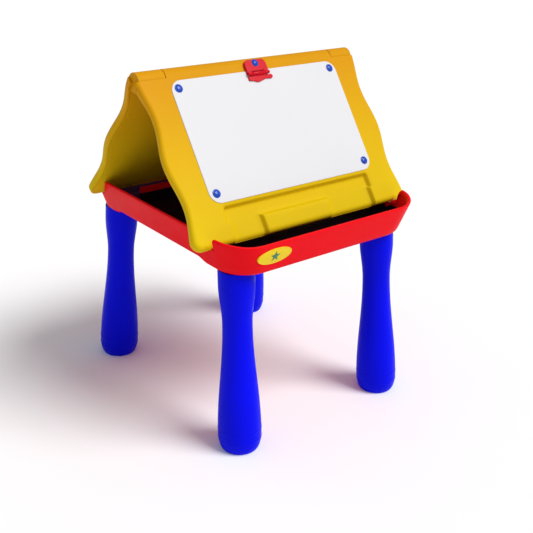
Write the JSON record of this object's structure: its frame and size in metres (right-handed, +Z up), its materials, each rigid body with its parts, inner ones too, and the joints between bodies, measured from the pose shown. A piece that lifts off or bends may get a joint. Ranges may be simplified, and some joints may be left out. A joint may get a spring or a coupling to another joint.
{
  "type": "children's easel activity table",
  "caption": "Child's plastic activity table: open tray on waisted legs, with a hinged A-frame easel that lifts out and folds, a whiteboard, a chalkboard and a paper clip.",
  "frame": {"origin": "on the floor, under the middle of the table", "axes": "+Z up, the whiteboard side faces -Y, +X to the right seen from the whiteboard side"},
  "size_m": [0.622, 0.6559, 0.8161],
  "materials": {
    "red_plastic": "satin moulded",
    "dark_liner": "matt",
    "blue_plastic": "satin blow-moulded",
    "yellow_plastic": "satin moulded",
    "badge_plastic": "gloss",
    "whiteboard": "gloss coated",
    "chalkboard": "matt, slightly rough",
    "rivet_plastic": "gloss",
    "clip_plastic": "gloss",
    "steel": "plain"
  },
  "bodies": {
    "table": {"tray": "red_plastic", "tray_liner": "dark_liner", "leg_front_left": "blue_plastic", "leg_front_right": "blue_plastic", "leg_back_left": "blue_plastic", "leg_back_right": "blue_plastic", "badge": "badge_plastic"},
    "ridge": {"ridge_pin_left": "yellow_plastic", "ridge_pin_right": "yellow_plastic"},
    "front_easel": {"front_panel": "yellow_plastic", "front_panel_backing": "yellow_plastic", "whiteboard": "whiteboard", "front_board_rivets": "rivet_plastic", "clip_base": "clip_plastic", "clip_rivet": "rivet_plastic", "clip_pin": "steel", "clip_spring": "steel"},
    "back_easel": {"back_panel": "yellow_plastic", "back_panel_backing": "yellow_plastic", "chalkboard": "chalkboard", "back_board_rivets": "rivet_plastic"},
    "clip_lip": {"clip_jaw": "clip_plastic"}
  },
  "joints": [
    {"name": "easel_lift", "type": "slide", "parent": "table", "child": "ridge", "axis": [0, 0, 1], "range_m": [0, 0.45]},
    {"name": "front_fold", "type": "hinge", "parent": "ridge", "child": "front_easel", "pos_m": [0, 0, 0.792], "axis": [1, 0, 0], "range_deg": [0, 35.4]},
    {"name": "back_fold", "type": "hinge", "parent": "ridge", "child": "back_easel", "pos_m": [0, 0, 0.792], "axis": [-1, 0, 0], "range_deg": [0, 35.4]},
    {"name": "clip_open", "type": "hinge", "parent": "front_easel", "child": "clip_lip", "pos_m": [0, -0.03812, 0.78842], "axis": [-1, 0, 0], "range_deg": [0, 35], "stiffness_Nm_per_rad": 0.06, "springref_deg": -20.05}
  ],
  "couplings": [
    {"joint": "front_fold", "follows": "easel_lift", "rad_per_m": 1.37},
    {"joint": "back_fold", "follows": "easel_lift", "rad_per_m": 1.37}
  ]
}
